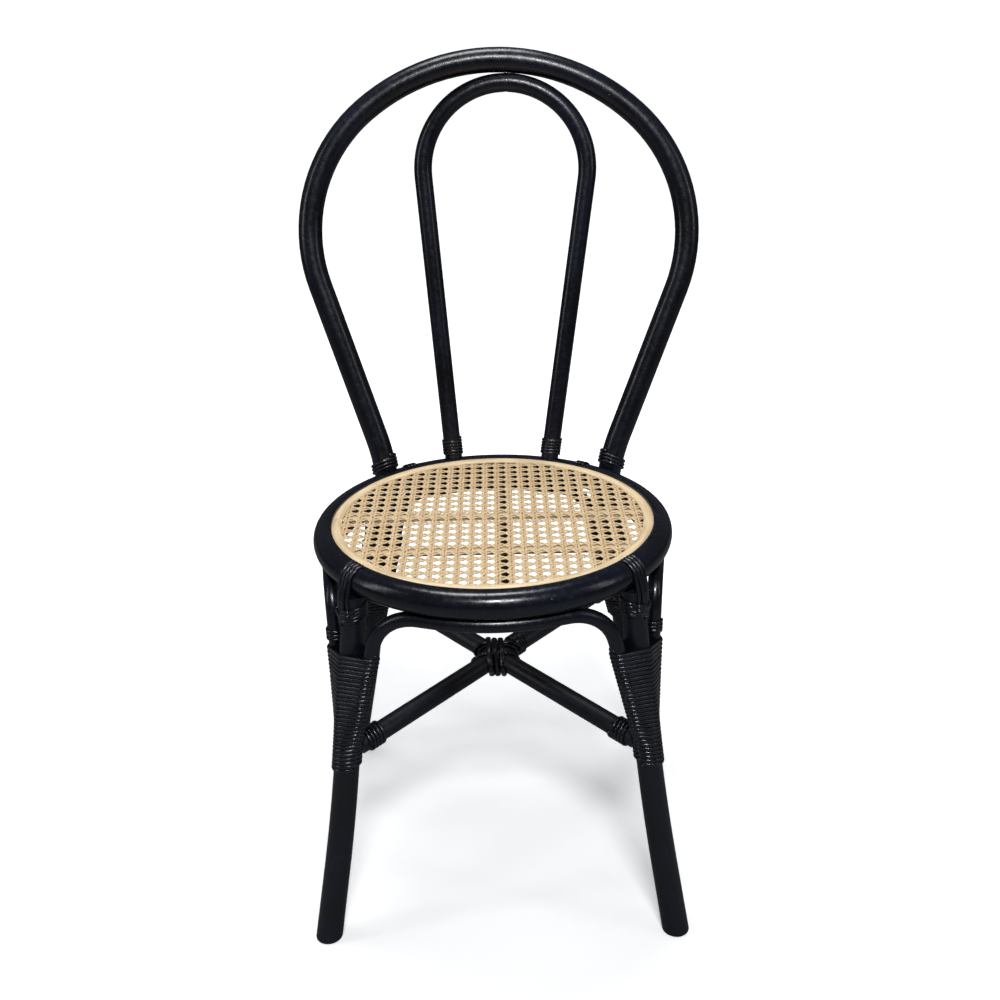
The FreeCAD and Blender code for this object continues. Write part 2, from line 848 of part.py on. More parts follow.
def hoop_lashing(side, name):
    """Slanting turns round the hoop where it meets the ring, high on the inside."""
    edges = rear_leg_edges(side)
    middle = place_at(edges, hoop_lashing_height)
    above = place_at(edges, hoop_lashing_height + hoop_lashing_span)
    pole_way = unit(above - middle)
    outward = unit(Vector(middle.x, middle.y, 0))
    outward = unit(outward - pole_way * outward.dot(pole_way))
    beside = pole_way.cross(outward)
    tilt = turn_of(hoop_lashing_tilt)
    slanted = outward * math.cos(tilt) - pole_way * math.sin(tilt)
    on_pole = hoop_pole / 2 + strand / 2 + strand_clearance + hoop_lashing_spare
    step = pole_way * (binding_pitch / math.cos(tilt) / 4)

    def reach(quarter, across):
        return on_pole / math.cos(tilt) if abs(across.dot(slanted)) > alike else on_pole

    return even_winding(name, middle, step, four_ways(slanted, beside), reach, hoop_lashing_turns)


def pole_binding(name, start, way, pole_radius, turns):
    """Turns round a straight stretch of pole."""
    first = unit(way.cross(sideways)) if abs(way.z) > alike else unit(way.cross(up))
    second = way.cross(first)
    step = way * (binding_pitch / 4)
    on_pole = pole_radius + strand / 2 + strand_clearance
    return even_winding(name, start, step, four_ways(first, second),
                        lambda quarter, across: on_pole, turns)


def inner_binding(side, name):
    foot, top = inner_leg_points(side)
    way = unit(top - foot)
    start_height = seat_height + inner_binding_rise
    start = foot + way * ((start_height - foot.z) / way.z)
    return pole_binding(name, start, way, inner_pole / 2, inner_binding_turns)


def side_arch_binding(side, name):
    """Turns round a side arch alone, just above the wrap of the front leg."""
    edges = side_arch_front(side)
    start = place_at(edges, wrap_top + side_arch_binding_rise)
    above = place_at(edges, wrap_top + side_arch_binding_rise + level_step)
    return pole_binding(name, start, unit(above - start), arch_pole / 2, side_arch_binding_turns)


def stretcher_binding(side, at_front, name):
    front, rear = stretcher_ends(side)
    way = unit(rear - front)
    if at_front:
        start, room = front, front_wrap_room
    else:
        start, room, way = rear, rear_wrap_room, way * -1
    start = start + way * room
    return pole_binding(name, start, way, stretcher_pole / 2, stretcher_binding_turns)


def centre_lashing(name, over):
    """Turns over the crossing: a first set one way and a second set over it the other way."""
    middle, across, forward, normal = crossing()
    front, rear = stretcher_ends(1)
    slope = abs(unit(rear - front).dot(across)) / abs(unit(rear - front).dot(forward))
    if over:
        wide, onward, slope = forward, across * -1, 1 / slope
        height = stretcher_pole / 2 + strand * 1.5 + strand_clearance * 3 + centre_lashing_bulge
        spare = strand + strand_clearance
    else:
        wide, onward = across, forward
        height = stretcher_pole / 2 + strand / 2 + centre_lashing_bulge
        spare = 0
    half_width = stretcher_pole / 2 * math.sqrt(1 + slope ** 2)
    step = onward * (centre_lashing_pitch / 4)
    start = middle - step * (centre_lashing_turns * 2)

    def reach(quarter, direction):
        if abs(direction.dot(normal)) > alike:
            return height
        offset = abs(quarter - centre_lashing_turns * 2) * centre_lashing_pitch / 4
        edge = half_width + offset * slope
        return edge + strand / 2 + strand_clearance + spare + centre_lashing_bulge / 2

    return even_winding(name, start, step, four_ways(normal, wide), reach, centre_lashing_turns)


# Fixings: each is a solid and the hole that it fills, with the pieces it goes through
def fixing(start, way, length, diameter, head=False):
    """A pin from start along a way, with a flat head sunk at its start if it is a screw."""
    solid = rod(start, way, length, diameter)
    hole = rod(start, way, length, diameter + drill_clearance * 2)
    if head:
        solid = solid.fuse(rod(start, way, screw_head_height, screw_head)).removeSplitter()
        well = rod(start - way * screw_sink, way, screw_sink + screw_head_height,
                   screw_head + drill_clearance * 2)
        hole = hole.fuse(well)
    return solid, hole


def centred_pin(middle, way, half_length, diameter):
    return fixing(middle - way * half_length, way, half_length * 2, diameter)


def leg_dowel(side):
    outward, beside = leg_top_ways(side)
    leg_middle = place_at(front_leg_edges(side), front_leg_top_height - dowel_depth)
    foot = outward * ((ring_radius + leg_middle.dot(outward)) / 2) + up * leg_middle.z
    return fixing(foot, up, ring_height - leg_middle.z, dowel)


def hoop_screw(side):
    """From the outside of the hoop's pole, level, into the ring."""
    middle = place_at(rear_leg_edges(side), ring_height)
    inward = unit(Vector(-middle.x, -middle.y, 0))
    start = middle - inward * (hoop_pole / 2 - screw_sink)
    length = start.dot(inward) * -1 - ring_radius
    return fixing(start, inward, length, screw, True)


def crown_screw():
    start = inner_crown - inner_up * (inner_pole / 2 - screw_sink)
    return fixing(start, inner_up, screw_grip + inner_pole / 2, screw, True)


def inner_foot_dowel(side):
    foot, top = inner_leg_points(side)
    way = unit(top - foot)
    seat_place = foot + way * ((seat_height - foot.z) / way.z)
    return centred_pin(seat_place, way, dowel_depth / 2, dowel)


def bar_dowel(end):
    inner_face = math.sqrt((ring_radius - ring_pole / 2) ** 2 - centre_bar_x ** 2)
    return centred_pin(Vector(centre_bar_x, end * inner_face, centre_bar_height), Vector(0, 1, 0),
                       dowel_depth / 2, dowel)


def arch_nail(angle):
    start = around(ring_radius, angle, arch_height - arch_pole / 2 + nail_sink)
    return fixing(start, up, arch_pole + nail_grip, nail)


def slat_nail(place):
    start = Vector(centre_bar_x, place, slat_bottom - nail_grip)
    return fixing(start, up, nail_grip + slat_thickness, brad)


def slat_end_pin(place, end):
    slat_middle = slat_bottom + slat_thickness / 2
    fall = ring_height - slat_middle
    ring_reach = ring_radius - math.sqrt((ring_pole / 2) ** 2 - fall ** 2)
    edge = math.sqrt(ring_reach ** 2 - place ** 2)
    return centred_pin(Vector(end * edge, place, slat_middle), sideways, brad_length, brad)


def rim_brad(angle):
    rim_middle = rebate_radius - strip_clearance - rim_strip_width / 2
    nailed = rim_middle + brad_outset
    top = cane_top + rim_strip_height - brad_sink
    return fixing(around(nailed, angle, top - brad_length), up, brad_length, brad)


def height_between_turns(route, axis_start, axis_way):
    """Where a level pin can pass between two turns of a strand, nearest to an axis."""
    level_way = unit(Vector(axis_way.x, axis_way.y, 0))
    beside = up.cross(level_way)
    heights = []
    before = None
    slope = axis_way.z / axis_way.dot(level_way)
    for point in points_on(route):
        point = point - axis_start
        shift = point.dot(beside)
        if before is not None and point.dot(level_way) > 0 and shift * before[0] < 0:
            part_way = before[0] / (before[0] - shift)
            height = before[1] + (point.z - before[1]) * part_way
            heights.append(height - slope * point.dot(level_way) + axis_start.z)
        before = (shift, point.z)
    heights.sort()
    middles = [(low + high) / 2 for low, high in zip(heights, heights[1:])]
    return min(middles, key=lambda middle: abs(middle - axis_start.z))


def stretcher_pin(side, at_front):
    """From inside a leg, between two turns of its wrap, into the end of a stretcher."""
    front, rear = stretcher_ends(side)
    way = unit(rear - front)
    start, reach = front, front_wrap_room
    route = strand_routes["front wrap " + side_names[side]]
    if not at_front:
        start, way, reach = rear, way * -1, rear_wrap_room
        route = strand_routes["rear wrap " + side_names[-side]]
    height = height_between_turns(route, start, way)
    start = Vector(start.x, start.y, height)
    return fixing(start, way, reach + pin_grip, pin)


def crossing_nail():
    middle, across, forward, normal = crossing()
    return centred_pin(middle, normal, stretcher_pole / 2 - nail_sink, nail)


def make_fixings():
    """Each group of like fixings, with the pieces that are drilled for it."""
    arch_angles = {"front_arch": [-90 - arch_nail_turn, -90, -90 + arch_nail_turn],
                   "rear_arch": [90 - rear_nail_turn, 90 + rear_nail_turn],
                   "right_arch": [-side_nail_turn, side_nail_turn],
                   "left_arch": [180 - side_nail_turn, 180 + side_nail_turn]}
    groups = {
        "leg_dowels": [(leg_dowel(side), ["seat_ring", "front_leg_" + side_names[side]])
                       for side in both],
        "hoop_screws": [(hoop_screw(side), ["seat_ring", "back_hoop"]) for side in both],
        "crown_screw": [(crown_screw(), ["inner_hoop", "back_hoop"])],
        "inner_hoop_dowels": [(inner_foot_dowel(side), ["inner_hoop", "seat_ring"])
                              for side in both],
        "centre_bar_dowels": [(bar_dowel(end), ["seat_centre_bar", "seat_ring"])
                              for end in both],
        "arch_nails": [(arch_nail(angle), [name, "seat_ring"])
                       for name, angles in arch_angles.items() for angle in angles],
        "slat_nails": [(slat_nail(place), ["seat_cross_slats", "seat_centre_bar"])
                       for place in slat_places],
        "slat_end_pins": [(slat_end_pin(place, end), ["seat_cross_slats", "seat_ring"])
                          for place in slat_places for end in both],
        "rim_brads": [(rim_brad(brad_start + 360 * number / brad_count),
                       ["seat_rim_strip", "seat_cane", "seat_ring"])
                      for number in range(brad_count)],
        "stretcher_pins": [(stretcher_pin(side, at_front),
                            ["stretcher_" + side_names[side]] + held_in)
                           for side in both
                           for at_front, held_in in ((True, ["front_leg_" + side_names[side]]),
                                                     (False, ["back_hoop", "rear_arch"]))],
        "crossing_nail": [(crossing_nail(), ["stretcher_right", "stretcher_left"])],
    }
    return groups


def drill(shape, holes):
    """Cuts holes in a piece, or in each solid of a group."""
    if not holes:
        return shape
    tool = Part.makeCompound(holes)
    if len(shape.Solids) > 1:
        return Part.makeCompound([solid_of(piece.cut(tool)) for piece in shape.Solids])
    return solid_of(shape.cut(tool))


def make_pieces():
    """Every piece but the fixings, by name."""
    pieces = {"seat_ring": make_seat_ring(), "seat_cane": make_seat_cane(),
              "seat_rim_strip": make_rim_strip(), "seat_centre_bar": make_centre_bar(),
              "seat_cross_slats": make_cross_slats(), "inner_hoop": make_inner_hoop()}
    hoop = make_back_hoop()
    pieces["back_hoop"] = solid_of(hoop.cut(full_ring))
    for side, name in side_names.items():
        pieces["front_leg_" + name] = make_front_leg(side)
    arches = {"front_arch": (front_arch_side(1), front_arch_side(-1), -90),
              "rear_arch": (rear_arch_side(1), rear_arch_side(-1), 90),
              "right_arch": (side_arch_front(1), side_arch_rear(1), 0),
              "left_arch": (side_arch_front(-1), side_arch_rear(-1), 180)}
    for name, (first, second, angle) in arches.items():
        shape = arch(first, second, angle)
        for leg in (pieces["front_leg_right"], pieces["front_leg_left"], hoop):
            shape = solid_of(shape.cut(leg))
        pieces[name] = shape
    pieces["stretcher_right"], pieces["stretcher_left"] = make_stretchers()
    return pieces


def make_lashings():
    """Every lashing, by name."""
    lashings = {}
    for side, name in side_names.items():
        lashings["front_wrap_" + name] = leg_wrap(
            "front wrap " + name, front_leg_edges, front_leg_radius, front_arch_sides, side)
        lashings["rear_wrap_" + name] = leg_wrap(
            "rear wrap " + name, rear_leg_edges, rear_leg_radius, rear_arch_sides, side)
        lashings["ring_saddle_" + name] = saddle(side, "ring saddle " + name)
        lashings["leg_band_" + name] = leg_band(side, "leg band " + name)
        lashings["hoop_lashing_" + name] = hoop_lashing(side, "hoop lashing " + name)
        lashings["inner_hoop_binding_" + name] = inner_binding(side, "inner hoop binding " + name)
        lashings["side_arch_binding_" + name] = side_arch_binding(side, "side arch binding " + name)
        lashings["front_stretcher_binding_" + name] = stretcher_binding(
            side, True, "front stretcher binding " + name)
        lashings["rear_stretcher_binding_" + name] = stretcher_binding(
            -side, False, "rear stretcher binding " + name)
    lashings["centre_lashing_under"] = centre_lashing("centre lashing under", False)
    lashings["centre_lashing_over"] = centre_lashing("centre lashing over", True)
    return lashings


def make_all():
    nodes = make_pieces()
    nodes.update(make_lashings())
    for group, members in make_fixings().items():
        solids = [solid for (solid, hole), drilled in members]
        for name in sorted({name for pair, drilled in members for name in drilled}):
            holes = [hole for (solid, hole), drilled in members if name in drilled]
            nodes[name] = drill(nodes[name], holes)
        nodes[group] = Part.makeCompound(solids) if len(solids) > 1 else solids[0]
    return nodes


def write_steps(nodes):
    os.makedirs("parts", exist_ok=True)
    for name, shape in nodes.items():
        state = "" if shape.isValid() else " NOT VALID"
        print(name, "solids", len(shape.Solids), "volume", round(shape.Volume), "mm3" + state)
        shape.exportStep("parts/" + name + ".step")


parts = make_all()
write_steps(parts)
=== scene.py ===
import math
import random

import bmesh
import bpy
from mathutils import Matrix, Vector, geometry, noise


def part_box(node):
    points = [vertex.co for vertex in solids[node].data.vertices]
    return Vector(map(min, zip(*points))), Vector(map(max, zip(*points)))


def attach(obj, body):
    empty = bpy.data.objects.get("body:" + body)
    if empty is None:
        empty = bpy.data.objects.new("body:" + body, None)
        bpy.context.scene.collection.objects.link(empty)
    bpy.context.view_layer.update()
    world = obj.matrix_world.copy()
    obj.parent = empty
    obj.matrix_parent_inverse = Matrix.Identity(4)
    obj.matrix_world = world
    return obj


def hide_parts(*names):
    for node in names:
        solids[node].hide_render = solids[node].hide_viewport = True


# The chair in metres: +Z is up, +Y is its back and +X is the right of a person who looks
# at its front. The solids of the frame are the poles; the woven seat and the peel on the
# joints are made here.
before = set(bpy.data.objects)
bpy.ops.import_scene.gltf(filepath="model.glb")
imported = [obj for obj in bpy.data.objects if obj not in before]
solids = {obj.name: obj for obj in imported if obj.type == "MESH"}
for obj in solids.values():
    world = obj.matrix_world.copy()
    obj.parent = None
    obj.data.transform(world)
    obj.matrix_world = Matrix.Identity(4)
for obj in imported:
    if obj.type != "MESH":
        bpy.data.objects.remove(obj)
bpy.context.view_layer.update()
mm = 0.001
sides = {"right": 1, "left": -1}

# Seat weave
hole_step_x = 14.1 * mm
hole_step_y = 15.5 * mm
first_hole = Vector((-1.5 * mm, -3.0 * mm))
weave_turn = math.radians(0.3)
weave_height = 451.15 * mm
weave_reach = 173.0 * mm
pair_gap = 1.75 * mm
cane_width = 2.7 * mm
cane_thickness = 0.75 * mm
diagonal_width = 2.15 * mm
pair_rise = 0.42 * mm
diagonal_rise = 0.78 * mm

# Peel on the joints
peel_thickness = 2.6 * mm
peel_steps = 28
ring_radius = 185.0 * mm
ring_height = 440.0 * mm
ring_pole_radius = 15.5 * mm
saddle_shoulder = 22
saddle_heights = (424 * mm, 420 * mm, 414 * mm, 408 * mm, 402 * mm)
room_outside = 50 * mm


# Shaders: sums are written as plain Python
class Link:
    """A number that comes out of a shader node, for use in sums."""

    def __init__(self, paint, socket):
        self.paint = paint
        self.socket = socket

    def sum(self, operation, *others):
        return self.paint.add("ShaderNodeMath", {"operation": operation}, self, *others)

    def __add__(self, other):
        return self.sum("ADD", other)

    def __radd__(self, other):
        return self.sum("ADD", other)

    def __sub__(self, other):
        return self.sum("SUBTRACT", other)

    def __rsub__(self, other):
        return self.paint.add("ShaderNodeMath", {"operation": "SUBTRACT"}, other, self)

    def __mul__(self, other):
        return self.sum("MULTIPLY", other)

    def __rmul__(self, other):
        return self.sum("MULTIPLY", other)

    def __truediv__(self, other):
        return self.sum("DIVIDE", other)

    def __pow__(self, other):
        return self.sum("POWER", other)


class Paint:
    """A material that is built node by node."""

    def __init__(self, name, roughness=0.5, specular=0.5, coat=0.0, coat_roughness=0.1):
        self.material = bpy.data.materials.new(name)
        self.material.use_nodes = True
        self.tree = self.material.node_tree
        self.shader = self.tree.nodes["Principled BSDF"]
        self.shader.inputs["Roughness"].default_value = roughness
        self.shader.inputs["Specular IOR Level"].default_value = specular
        self.shader.inputs["Coat Weight"].default_value = coat
        self.shader.inputs["Coat Roughness"].default_value = coat_roughness
        self.place = self.add("ShaderNodeTexCoord", {}, output="Object")

    def add(self, kind, settings, *values, output=0, **named):
        """Adds a node with its settings, and puts values or links into its inputs."""
        node = self.tree.nodes.new(kind)
        for name, value in settings.items():
            if name == "stops":
                while len(node.color_ramp.elements) < len(value):
                    node.color_ramp.elements.new(1)
                for stop, (place, colour) in zip(node.color_ramp.elements, value):
                    stop.position = place
                    stop.color = colour
            else:
                setattr(node, name, value)
        inputs = list(enumerate(values)) + [(name.replace("_", " "), value) for name, value in named.items()]
        for name, value in inputs:
            if isinstance(value, Link):
                self.tree.links.new(value.socket, node.inputs[name])
            else:
                node.inputs[name].default_value = value
        return Link(self, node.outputs[output])

    def feed(self, name, link):
        self.tree.links.new(link.socket, self.shader.inputs[name])

    def noise(self, place, scale, detail=2.0, roughness=0.5):
        return self.add("ShaderNodeTexNoise", {}, Vector=place, Scale=scale, Detail=detail, Roughness=roughness)

    def spread(self, link, low, high, low_out=0.0, high_out=1.0):
        """The link's range from low to high, stretched to another range and kept in it."""
        return self.add("ShaderNodeMapRange", {"clamp": True}, link, low, high, low_out, high_out)

    def mix(self, share, first, second):
        return self.add("ShaderNodeMixRGB", {}, share, first, second)

    def point(self, x, y, z):
        return self.add("ShaderNodeCombineXYZ", {}, x, y, z)

    def axis(self, letter):
        return self.add("ShaderNodeSeparateXYZ", {}, self.place, output=letter)

    def attribute(self, name):
        return self.add("ShaderNodeAttribute", {"attribute_name": name}, output="Fac")

    def relief(self, height, distance, strength=1.0, under=None):
        """A bump of that height in metres, on top of another one."""
        named = {"Strength": strength, "Distance": distance, "Height": height}
        if under is not None:
            named["Normal"] = under
        return self.add("ShaderNodeBump", {}, **named)


black = (0.0022, 0.0024, 0.0040, 1)
blue_black = (0.0040, 0.0052, 0.0130, 1)
dust = (0.030, 0.031, 0.036, 1)
bare_pole = (0.42, 0.31, 0.19, 1)


def black_lacquer(name, roughness=0.30, worn_foot=False):
    """Satin black paint over a pole that was not quite smooth."""
    paint = Paint(name, specular=0.5)
    broad = paint.noise(paint.place, 14, 3)
    mottle = paint.noise(paint.place, 170, 4, 0.62)
    grain = paint.noise(paint.place, 820, 3, 0.7)
    specks = paint.add("ShaderNodeTexVoronoi", {}, Vector=paint.place, Scale=95)
    pips = paint.spread(specks, 0.10, 0.02) * paint.spread(paint.noise(paint.place, 30), 0.56, 0.62)
    colour = paint.mix(paint.spread(broad, 0.35, 0.65), black, blue_black)
    colour = paint.mix(paint.spread(mottle, 0.60, 0.78) * 0.35, colour, dust)
    rough = roughness + paint.spread(mottle, 0.3, 0.7, -0.05, 0.09) + paint.spread(broad, 0.3, 0.7, -0.02, 0.05)
    height = broad * 0.9 + mottle * 0.16 + grain * 0.035 + pips * 0.35
    if worn_foot:
        foot = paint.spread(paint.axis("Z"), 0.0045, 0.0005)
        chips = paint.spread(paint.noise(paint.place, 260, 3) + foot * 0.34, 0.83, 0.87)
        chips = chips * paint.spread(paint.axis("Z"), 0.012, 0.010)
        colour = paint.mix(chips, colour, bare_pole)
        rough = rough + chips * 0.3
        height = height - chips * 0.4
    paint.feed("Base Color", colour)
    paint.feed("Roughness", rough)
    paint.feed("Normal", paint.relief(height, 0.0009))
    return paint.material


def black_peel(name):
    """The same paint on flat peel: each turn a little different, with fine lines along it."""
    paint = Paint(name, specular=0.65)
    along = paint.attribute("along")
    across = paint.attribute("across")
    number = paint.attribute("strand")
    lines = paint.noise(paint.point(along * 40, across * 1400, number), 1, 3, 0.6)
    patches = paint.noise(paint.place, 60, 3)
    knocks = paint.noise(paint.point(along * 130, across * 300, number), 1, 2)
    colour = paint.mix(paint.spread(patches, 0.35, 0.65), black, blue_black)
    colour = paint.mix(paint.spread(lines, 0.62, 0.8) * 0.4, colour, dust)
    paint.feed("Base Color", colour)
    paint.feed("Roughness", 0.24 + paint.spread(patches, 0.3, 0.7, -0.04, 0.10))
    paint.feed("Normal", paint.relief(lines * 0.5 + knocks, 0.0004))
    return paint.material


cane_pale = (0.880, 0.690, 0.440, 1)
cane_warm = (0.580, 0.370, 0.170, 1)
cane_dark = (0.140, 0.075, 0.030, 1)


def woven_cane(name):
    """Unpainted cane: glossy skin, fibres along each strand, and no two strands alike."""
    paint = Paint(name, specular=0.45)
    along = paint.attribute("along")
    across = paint.attribute("across")
    number = paint.attribute("strand")
    tone = paint.add("ShaderNodeTexWhiteNoise", {"noise_dimensions": "1D"}, W=number)
    fibres = paint.noise(paint.point(along * 60, across * 1900, number * 3.7), 1, 4, 0.65)
    stains = paint.noise(paint.point(along * 22, across * 90, number * 1.3), 1, 3)
    # Painted shade: each strand is darker towards its edges, in place of the shade in the gaps between strands.
    painted_edge_shade = paint.spread(across * across, 0.55e-6, 1.4e-6)
    colour = paint.mix(paint.spread(fibres, 0.38, 0.66) * 0.65 + tone * 0.35, cane_pale, cane_warm)
    colour = paint.mix(paint.spread(stains, 0.60, 0.78) * 0.35, colour, cane_dark)
    colour = paint.mix(painted_edge_shade * 0.50, colour, cane_dark)
    paint.feed("Base Color", colour)
    paint.feed("Roughness", 0.42 + paint.spread(fibres, 0.3, 0.7, -0.06, 0.12))
    paint.feed("Normal", paint.relief(fibres, 0.00025))
    return paint.material


def rim_cane(name):
    """The pale strip round the seat: fibres run round with it."""
    paint = Paint(name, specular=0.4)
    x, y, z = (paint.axis(letter) for letter in "XYZ")
    radius = (x * x + y * y) ** 0.5
    turn = paint.add("ShaderNodeMath", {"operation": "ARCTAN2"}, y, x)
    fibres = paint.noise(paint.point(turn * 5.0, radius * 1500, z * 1500), 1, 4, 0.62)
    stains = paint.noise(paint.point(turn * 3.0, radius * 120, z * 60), 1, 3)
    knots = paint.noise(paint.point(turn * 34.0, radius * 260, z * 200), 1, 2)
    colour = paint.mix(paint.spread(fibres, 0.40, 0.64) * 0.95, (0.92, 0.74, 0.49, 1), (0.66, 0.47, 0.26, 1))
    colour = paint.mix(paint.spread(stains, 0.50, 0.68) * 0.50, colour, (0.42, 0.28, 0.15, 1))
    colour = paint.mix(paint.spread(knots, 0.68, 0.76) * 0.55, colour, cane_dark)
    paint.feed("Base Color", colour)
    paint.feed("Roughness", 0.46 + paint.spread(fibres, 0.3, 0.7, -0.05, 0.12))
    paint.feed("Normal", paint.relief(fibres + knots * 0.5, 0.0003))
    return paint.material


def slat_cane(name):
    """The flat slats under the seat, with their grain from side to side."""
    paint = Paint(name, specular=0.3)
    x, y, z = (paint.axis(letter) for letter in "XYZ")
    grain = paint.noise(paint.point(x * 16, y * 900, z * 900), 1, 4, 0.6)
    colour = paint.mix(paint.spread(grain, 0.3, 0.7), (0.78, 0.63, 0.43, 1), (0.52, 0.36, 0.20, 1))
    paint.feed("Base Color", colour)
    paint.feed("Roughness", 0.6 + grain * 0.1)
    paint.feed("Normal", paint.relief(grain, 0.0003))
    return paint.material


def plain_dowel(name):
    paint = Paint(name, specular=0.3)
    x, y, z = (paint.axis(letter) for letter in "XYZ")
    grain = paint.noise(paint.point(x * 900, y * 900, z * 60), 1, 3)
    paint.feed("Base Color", paint.mix(grain, (0.72, 0.55, 0.36, 1), (0.58, 0.41, 0.25, 1)))
    paint.feed("Roughness", 0.6 + grain * 0.1)
    return paint.material


def plain_steel(name):
    paint = Paint(name)
    paint.shader.inputs["Metallic"].default_value = 1
    scratches = paint.noise(paint.place, 900, 3)
    paint.feed("Base Color", paint.mix(scratches, (0.56, 0.56, 0.57, 1), (0.40, 0.40, 0.42, 1)))
    paint.feed("Roughness", 0.3 + scratches * 0.2)
    return paint.material


hoop_paint = black_lacquer("black_lacquer_hoops", 0.25, worn_foot=True)
leg_paint = black_lacquer("black_lacquer_legs", 0.40, worn_foot=True)
ring_paint = black_lacquer("black_lacquer_ring", 0.20)
arch_paint = black_lacquer("black_lacquer_arches", 0.24)
stretcher_paint = black_lacquer("black_lacquer_stretchers", 0.40)
peel_paint = black_peel("black_peel")
cane_paint = woven_cane("woven_cane")
rim_paint = rim_cane("rim_cane")
slat_paint = slat_cane("slat_cane")
dowel_paint = plain_dowel("plain_dowel")
steel_paint = plain_steel("plain_steel")

finishes = {
    "back_hoop": hoop_paint,
    "inner_hoop": hoop_paint,
    "front_leg_right": leg_paint,
    "front_leg_left": leg_paint,
    "seat_ring": ring_paint,
    "front_arch": arch_paint,
    "rear_arch": arch_paint,
    "right_arch": arch_paint,
    "left_arch": arch_paint,
    "stretcher_right": stretcher_paint,
    "stretcher_left": stretcher_paint,
    "seat_centre_bar": stretcher_paint,
    "seat_rim_strip": rim_paint,
    "seat_cross_slats": slat_paint,
    "leg_dowels": leg_paint,
    "inner_hoop_dowels": dowel_paint,
    "centre_bar_dowels": dowel_paint,
    "hoop_screws": steel_paint,
    "crown_screw": steel_paint,
    "arch_nails": steel_paint,
    "slat_nails": steel_paint,
    "slat_end_pins": steel_paint,
    "rim_brads": steel_paint,
    "stretcher_pins": steel_paint,
    "crossing_nail": steel_paint,
}
for name, finish in finishes.items():
    mesh = solids[name].data
    mesh.materials.clear()
    mesh.materials.append(finish)


# Strands: a closed profile drawn along a row of places
def strand_profile(width, thickness):
    """A flat strand with a crowned face, as pairs across and out."""
    half = width / 2
    return [(-half * 0.8, 0), (half * 0.8, 0), (half, thickness * 0.35), (half * 0.8, thickness * 0.72),
            (half * 0.35, thickness * 0.97), (-half * 0.35, thickness * 0.97), (-half * 0.8, thickness * 0.72),
            (-half, thickness * 0.35)]


def flat_profile(width, thickness):
    half = width / 2
    return [(-half, -thickness / 2), (half, -thickness / 2), (half, 0),
            (half * 0.55, thickness / 2), (-half * 0.55, thickness / 2), (-half, 0)]


def strand(stations, profile, number=0.0):
    """One strand through stations, each a place and the way out of the surface there."""
    made = bmesh.new()
    along = made.verts.layers.float.new("along")
    across = made.verts.layers.float.new("across")
    name = made.verts.layers.float.new("strand")
    ring = bmesh.ops.create_circle(made, segments=len(profile), radius=1)["verts"]
    for vert, (side, out) in zip(ring, profile):
        vert.co = (side, 0, out)
        vert[across] = side
        vert[name] = number
    frames = []
    for index, (place, out) in enumerate(stations):
        before = stations[max(index - 1, 0)][0]
        after = stations[min(index + 1, len(stations) - 1)][0]
        ahead = (after - before).normalized()
        side = ahead.cross(out).normalized()
        turn = Matrix((side, ahead, side.cross(ahead))).transposed().to_4x4()
        frames.append(Matrix.Translation(place) @ turn)
    bmesh.ops.transform(made, matrix=frames[0], verts=made.verts[:])
    edges = made.edges[:]
    first_loop = edges
    travelled = 0
    for index in range(1, len(frames)):
        travelled += (stations[index][0] - stations[index - 1][0]).length
        grown = bmesh.ops.extrude_edge_only(made, edges=edges)["geom"]
        verts = [item for item in grown if isinstance(item, bmesh.types.BMVert)]
        fresh = set(verts)
        edges = [item for item in grown if isinstance(item, bmesh.types.BMEdge)
                 and item.verts[0] in fresh and item.verts[1] in fresh]
        bmesh.ops.transform(made, matrix=frames[index] @ frames[index - 1].inverted(), verts=verts)
        for vert in verts:
            vert[along] = travelled
    bmesh.ops.contextual_create(made, geom=first_loop)
    bmesh.ops.contextual_create(made, geom=edges)
    bmesh.ops.recalc_face_normals(made, faces=made.faces[:])
    mesh = bpy.data.meshes.new("strand")
    made.to_mesh(mesh)
    made.free()
    return mesh


def piece(name, meshes, finish, slot, *replaced):
    """Joins strands to one piece that stands for solids of the frame."""
    joined = bmesh.new()
    for mesh in meshes:
        joined.from_mesh(mesh)
        bpy.data.meshes.remove(mesh)
    data = bpy.data.meshes.new(name)
    joined.to_mesh(data)
    joined.free()
    for face in data.polygons:
        face.use_smooth = True
    data.materials.append(finish)
    made = bpy.data.objects.new(name, data)
    bpy.context.scene.collection.objects.link(made)
    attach(made, "root")
    if replaced:
        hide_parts(*replaced)
    return made


# The woven seat. Holes lie on a grid; pairs of strands run halfway between rows of holes
# and cross over and under each other, and single diagonals run between the pairs.
def on_weave(x, y, height):
    """A point of the weave, in steps of holes from the first hole."""
    flat = Vector((x * hole_step_x, y * hole_step_y)) + first_hole
    flat.rotate(Matrix.Rotation(weave_turn, 2))
    wander = noise.noise(Vector((flat.x * 40, flat.y * 40, 3))) * 0.45 * mm
    shift = noise.noise(Vector((flat.x * 55, flat.y * 55, 9))) * 0.5 * mm
    return Vector((flat.x + wander, flat.y + shift, weave_height + height))


def trimmed(places):
    """The run of places that lies inside the rim strip's middle."""
    return [place for place in places if math.hypot(place.x, place.y) < weave_reach]


def woven_strand(places, profile, number):
    kept = trimmed(places)
    if len(kept) < 4:
        return []
    return [strand([(place, Vector((0, 0, 1))) for place in kept], profile, number)]


cane_profile = flat_profile(cane_width, cane_thickness)
diagonal_profile = flat_profile(diagonal_width, cane_thickness)
reach = 14


